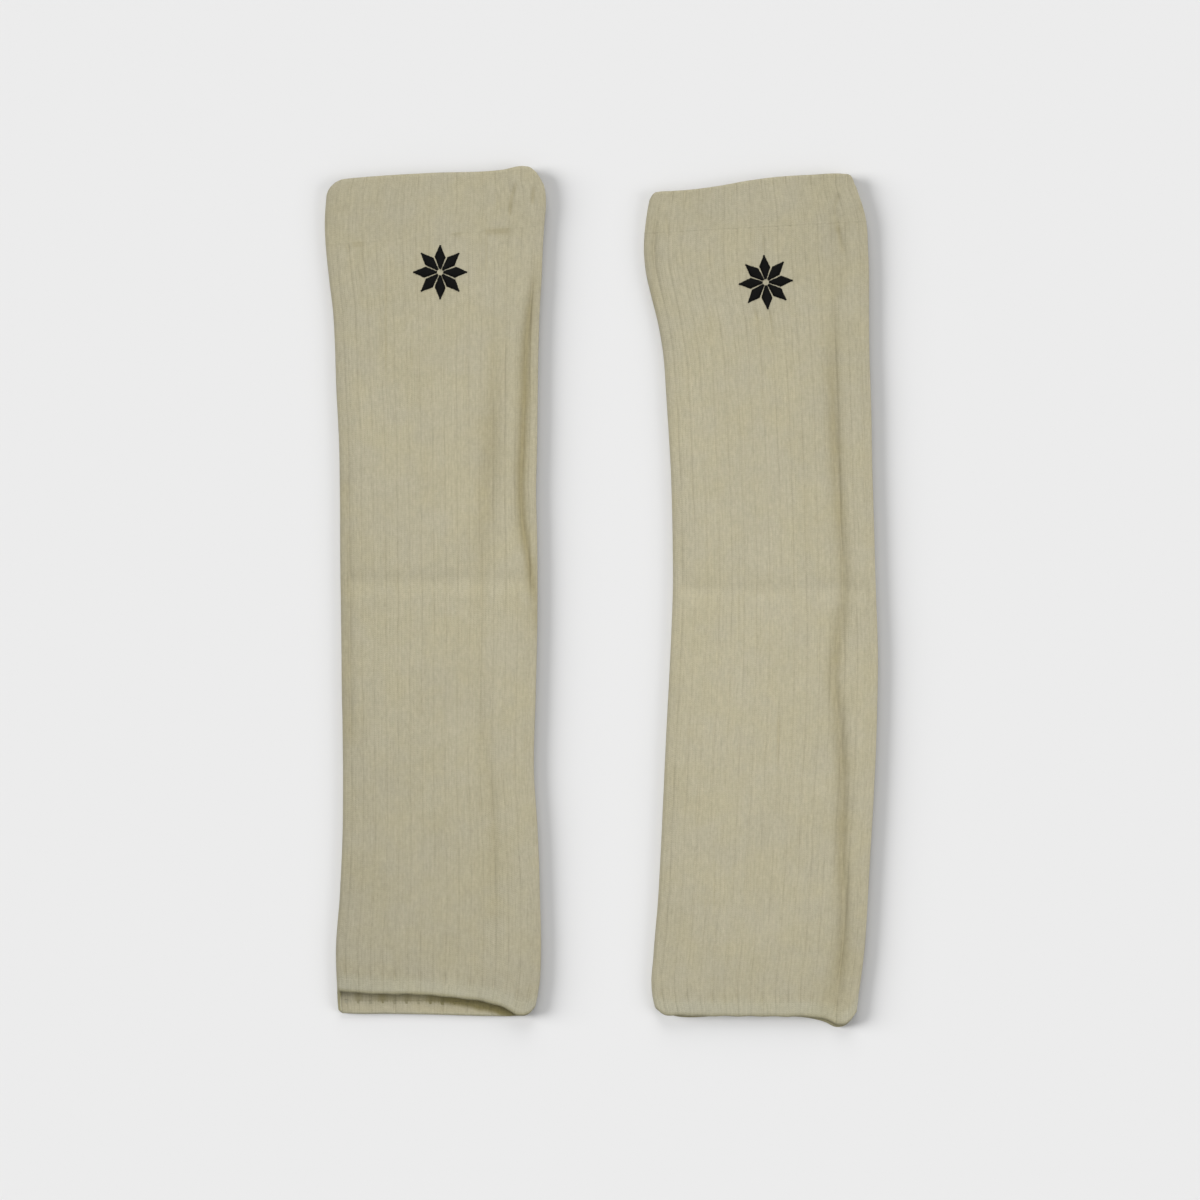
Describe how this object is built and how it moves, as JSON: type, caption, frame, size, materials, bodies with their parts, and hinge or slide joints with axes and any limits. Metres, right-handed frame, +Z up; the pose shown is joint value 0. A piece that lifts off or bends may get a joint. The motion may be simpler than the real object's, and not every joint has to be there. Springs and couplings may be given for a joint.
{
  "type": "pair of leg warmers",
  "caption": "Pair of cream rib-knit tube leg warmers laid flat, each with a turned welt, a cast-off hem and a small stitched star.",
  "frame": {"origin": "centre of the pair's bounding box, on the surface that it lies on", "axes": "+X across the pair to the right, +Y along the tubes towards the welts, +Z up from the surface"},
  "size_m": [0.2759, 0.4299, 0.0074],
  "materials": {
    "knit": "matte rib knit",
    "band": "matte dense knit",
    "thread": "satin stitch"
  },
  "bodies": {
    "root": {"left_body": "knit", "left_welt": "band", "left_hem": "band", "left_star": "thread", "right_body": "knit", "right_welt": "band", "right_hem": "band", "right_star": "thread"}
  },
  "joints": []
}
